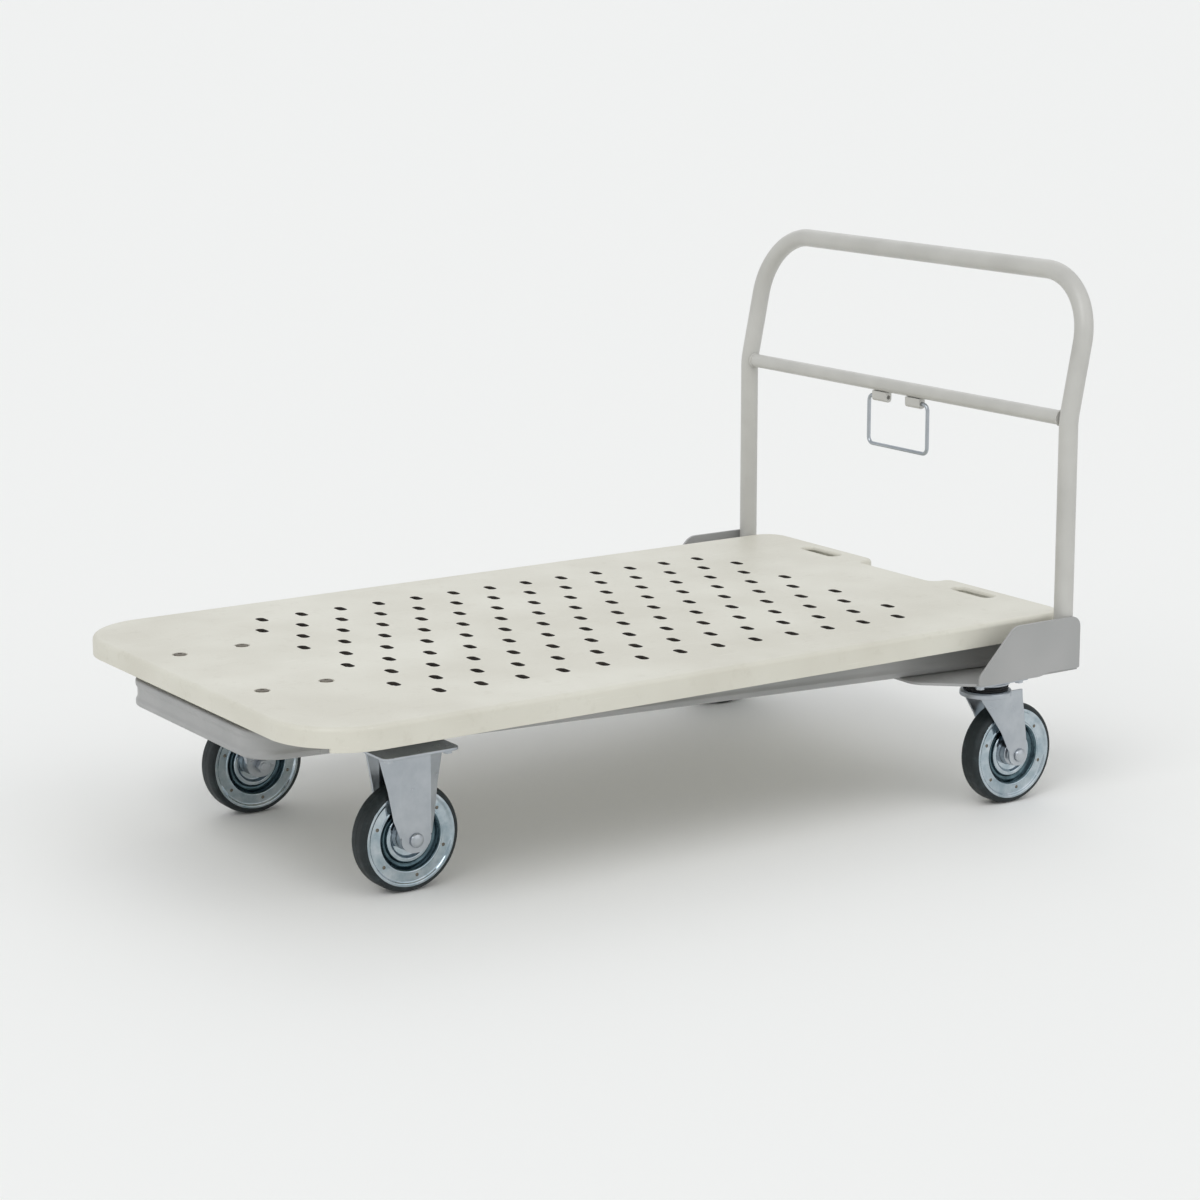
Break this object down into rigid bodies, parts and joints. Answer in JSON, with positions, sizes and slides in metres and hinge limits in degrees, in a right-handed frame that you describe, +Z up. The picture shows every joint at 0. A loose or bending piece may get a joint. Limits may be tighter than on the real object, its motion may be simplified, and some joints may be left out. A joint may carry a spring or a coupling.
{
  "type": "folding platform cart",
  "caption": "Nesting platform cart: perforated plastic deck that lifts at the rear, tapered channel frame, fixed tube handle with a wire bail, rigid front and swivel rear casters.",
  "frame": {"origin": "on the floor under the middle of the cart's bounding box", "axes": "+X to the cart's right side, +Y from the deck's front edge to the handle, +Z up"},
  "size_m": [0.804, 1.2925, 0.7857],
  "materials": {
    "grey_paint": "satin grey paint on bent sheet steel",
    "handle_paint": "light grey silver paint on steel tube",
    "ivory_plastic": "moulded polypropylene with a fine grain",
    "zinc_plate": "bright zinc plating on pressed steel",
    "chromed_disc": "polished chrome on pressed steel",
    "tyre_rubber": "solid black rubber",
    "black_rubber": "moulded black rubber"
  },
  "bodies": {
    "frame": {"front_nose": "grey_paint", "side_rail_left": "grey_paint", "side_rail_right": "grey_paint", "hinge_tube": "grey_paint", "rear_pad_left": "grey_paint", "rear_pad_right": "grey_paint", "side_bracket_left": "grey_paint", "side_bracket_right": "grey_paint", "deck_rest_left": "black_rubber", "deck_rest_right": "black_rubber", "handle_tube": "handle_paint", "middle_rail": "handle_paint", "bail_lug_left": "handle_paint", "bail_lug_right": "handle_paint", "rigid_fork_left": "zinc_plate", "rigid_fork_right": "zinc_plate", "swivel_top_left": "zinc_plate", "swivel_top_right": "zinc_plate", "kingpin_left": "zinc_plate", "kingpin_right": "zinc_plate", "axle_bolt_front_left": "zinc_plate", "axle_bolt_front_right": "zinc_plate", "axle_nut_front_left": "zinc_plate", "axle_nut_front_right": "zinc_plate"},
    "deck_platform": {"deck": "ivory_plastic", "hinge_block_left": "zinc_plate", "hinge_block_right": "zinc_plate", "deck_bolt_1": "zinc_plate", "deck_bolt_2": "zinc_plate", "deck_bolt_3": "zinc_plate", "deck_bolt_4": "zinc_plate"},
    "bail": {"wire_bail": "zinc_plate"},
    "swivel_left": {"swivel_fork_left": "zinc_plate", "lower_race_left": "zinc_plate", "axle_bolt_rear_left": "zinc_plate", "axle_nut_rear_left": "zinc_plate"},
    "swivel_right": {"swivel_fork_right": "zinc_plate", "lower_race_right": "zinc_plate", "axle_bolt_rear_right": "zinc_plate", "axle_nut_rear_right": "zinc_plate"},
    "wheel_front_left": {"tyre_front_left": "tyre_rubber", "disc_outer_front_left": "chromed_disc", "disc_inner_front_left": "chromed_disc", "hub_front_left": "zinc_plate"},
    "wheel_front_right": {"tyre_front_right": "tyre_rubber", "disc_outer_front_right": "chromed_disc", "disc_inner_front_right": "chromed_disc", "hub_front_right": "zinc_plate"},
    "wheel_rear_left": {"tyre_rear_left": "tyre_rubber", "disc_outer_rear_left": "chromed_disc", "disc_inner_rear_left": "chromed_disc", "hub_rear_left": "zinc_plate"},
    "wheel_rear_right": {"tyre_rear_right": "tyre_rubber", "disc_outer_rear_right": "chromed_disc", "disc_inner_rear_right": "chromed_disc", "hub_rear_right": "zinc_plate"}
  },
  "joints": [
    {"name": "deck_lift", "type": "hinge", "parent": "frame", "child": "deck_platform", "pos_m": [0, -0.53843, 0.222], "axis": [1, 0, 0], "range_deg": [0, 12.5]},
    {"name": "bail_swing", "type": "hinge", "parent": "frame", "child": "bail", "pos_m": [0, 0.58957, 0.5459], "axis": [1, 0, 0], "range_deg": [-85, 85]},
    {"name": "caster_swivel_left", "type": "hinge", "parent": "frame", "child": "swivel_left", "pos_m": [-0.351, 0.47157, 0.175], "axis": [0, 0, 1], "continuous": true},
    {"name": "caster_swivel_right", "type": "hinge", "parent": "frame", "child": "swivel_right", "pos_m": [0.351, 0.47157, 0.175], "axis": [0, 0, 1], "continuous": true},
    {"name": "wheel_spin_front_left", "type": "hinge", "parent": "frame", "child": "wheel_front_left", "pos_m": [-0.21994, -0.42943, 0.075], "axis": [1, 0, 0], "continuous": true},
    {"name": "wheel_spin_rear_left", "type": "hinge", "parent": "swivel_left", "child": "wheel_rear_left", "pos_m": [-0.351, 0.51357, 0.075], "axis": [1, 0, 0], "continuous": true},
    {"name": "wheel_spin_front_right", "type": "hinge", "parent": "frame", "child": "wheel_front_right", "pos_m": [0.21994, -0.42943, 0.075], "axis": [1, 0, 0], "continuous": true},
    {"name": "wheel_spin_rear_right", "type": "hinge", "parent": "swivel_right", "child": "wheel_rear_right", "pos_m": [0.351, 0.51357, 0.075], "axis": [1, 0, 0], "continuous": true}
  ]
}
